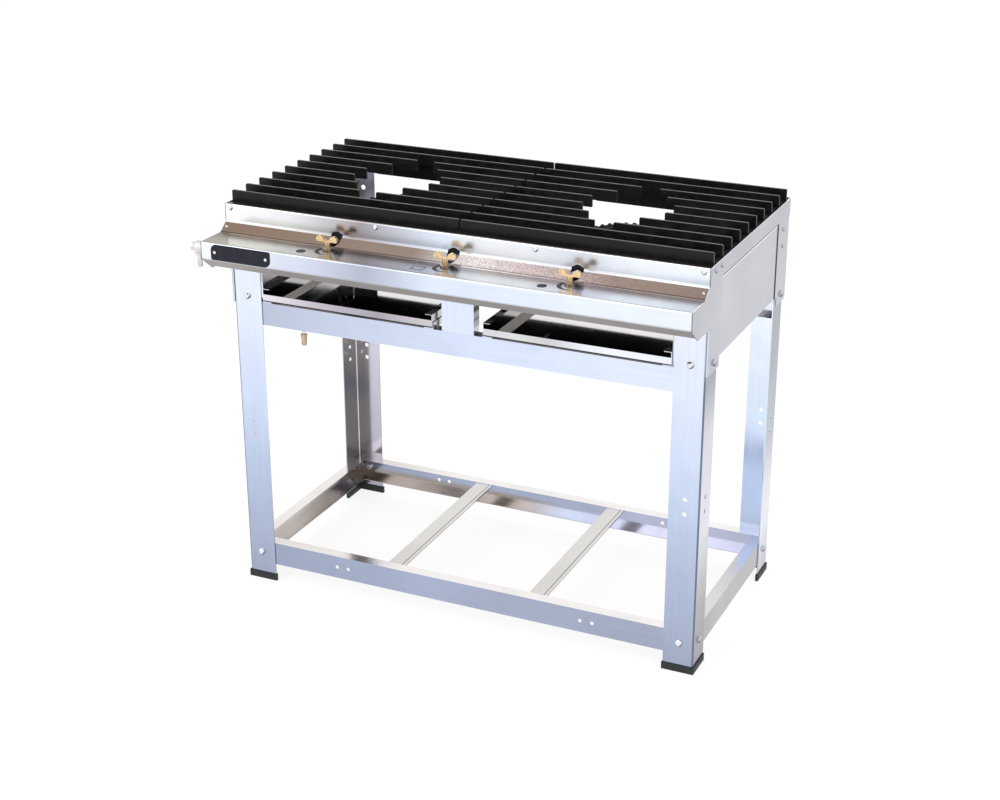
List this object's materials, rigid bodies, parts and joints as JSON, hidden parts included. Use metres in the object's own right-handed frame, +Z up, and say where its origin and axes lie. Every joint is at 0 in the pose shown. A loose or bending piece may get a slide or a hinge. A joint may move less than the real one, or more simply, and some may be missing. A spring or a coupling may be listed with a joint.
{
  "type": "two burner range",
  "caption": "Floor-standing gas range on angle legs with burners under split bar grates, slide-out drip trays, a folded control shelf with wing keys and an open lower frame.",
  "frame": {"origin": "on the floor under the middle of the leg frame", "axes": "+Z up; +X to the right along the front, seen from the front; -Y towards the cook, +Y to the back"},
  "size_m": [1.069, 0.5957, 0.853],
  "materials": {
    "steel": "brushed sheet",
    "rubber_foot": "black moulded cap",
    "black_frame": "satin black paint",
    "black_grate": "satin black paint, worn on the top edges",
    "cast_burner": "black cast iron",
    "brass": "turned and cast brass",
    "inlet_metal": "satin",
    "black_trim": "flat black print",
    "bolt_steel": "bright plated"
  },
  "bodies": {
    "stand": {"leg_front_left": "steel", "leg_front_right": "steel", "leg_back_left": "steel", "leg_back_right": "steel", "foot_front_left": "rubber_foot", "foot_front_right": "rubber_foot", "foot_back_left": "rubber_foot", "foot_back_right": "rubber_foot", "shelf_rail_front": "steel", "shelf_rail_back": "steel", "shelf_rail_left": "steel", "shelf_rail_right": "steel", "shelf_bar_left": "steel", "shelf_bar_right": "steel", "upper_rail_front": "steel", "upper_rail_back": "steel", "centre_post": "steel", "side_rail_left": "steel", "side_rail_right": "steel", "runners_left": "steel", "runners_right": "steel", "front_panel": "steel", "panel_folds": "steel", "cheek_left": "steel", "cheek_right": "steel", "side_panel_left": "steel", "side_panel_right": "steel", "rim_back": "steel", "ledge_front": "black_frame", "ledge_back": "black_frame", "ledge_left": "black_frame", "ledge_right": "black_frame", "ledge_centre": "black_frame", "burner_straps": "black_frame", "burner_left": "cast_burner", "burner_right": "cast_burner", "crown_left": "cast_burner", "crown_right": "cast_burner", "gas_pipe": "steel", "gas_inlet": "inlet_metal", "valve_left": "brass", "valve_middle": "brass", "valve_right": "brass", "feed_tube": "steel", "feed_tail": "brass", "bare_plate": "black_trim", "shelf_marks": "black_trim", "leg_bolts": "bolt_steel", "panel_bolts": "bolt_steel"},
    "tray_left": {"tray_left": "steel"},
    "tray_right": {"tray_right": "steel"},
    "key_left": {"key_left": "brass"},
    "key_middle": {"key_middle": "brass"},
    "key_right": {"key_right": "brass"},
    "shutter_left": {"shutter_left": "steel"},
    "shutter_right": {"shutter_right": "steel"},
    "grate_left": {"grate_left": "black_grate", "grate_flats_left": "black_grate"},
    "grate_right": {"grate_right": "black_grate", "grate_flats_right": "black_grate"}
  },
  "joints": [
    {"name": "tray_left_slide", "type": "slide", "parent": "stand", "child": "tray_left", "axis": [0, -1, 0], "range_m": [0, 0.4]},
    {"name": "tray_right_slide", "type": "slide", "parent": "stand", "child": "tray_right", "axis": [0, -1, 0], "range_m": [0, 0.4]},
    {"name": "key_left_turn", "type": "hinge", "parent": "stand", "child": "key_left", "pos_m": [-0.25125, -0.292, 0.7825], "axis": [0, 0, 1], "range_deg": [0, 90]},
    {"name": "key_middle_turn", "type": "hinge", "parent": "stand", "child": "key_middle", "pos_m": [0, -0.292, 0.7825], "axis": [0, 0, 1], "range_deg": [0, 90]},
    {"name": "key_right_turn", "type": "hinge", "parent": "stand", "child": "key_right", "pos_m": [0.25125, -0.292, 0.7825], "axis": [0, 0, 1], "range_deg": [0, 90]},
    {"name": "shutter_left_turn", "type": "hinge", "parent": "stand", "child": "shutter_left", "pos_m": [-0.25125, -0.249, 0.768], "axis": [0, 1, 0], "range_deg": [0, 60]},
    {"name": "shutter_right_turn", "type": "hinge", "parent": "stand", "child": "shutter_right", "pos_m": [0.25125, -0.249, 0.768], "axis": [0, 1, 0], "range_deg": [0, 60]},
    {"name": "grate_left_lift", "type": "slide", "parent": "stand", "child": "grate_left", "axis": [0, 0, 1], "range_m": [0, 0.15]},
    {"name": "grate_right_lift", "type": "slide", "parent": "stand", "child": "grate_right", "axis": [0, 0, 1], "range_m": [0, 0.15]}
  ]
}
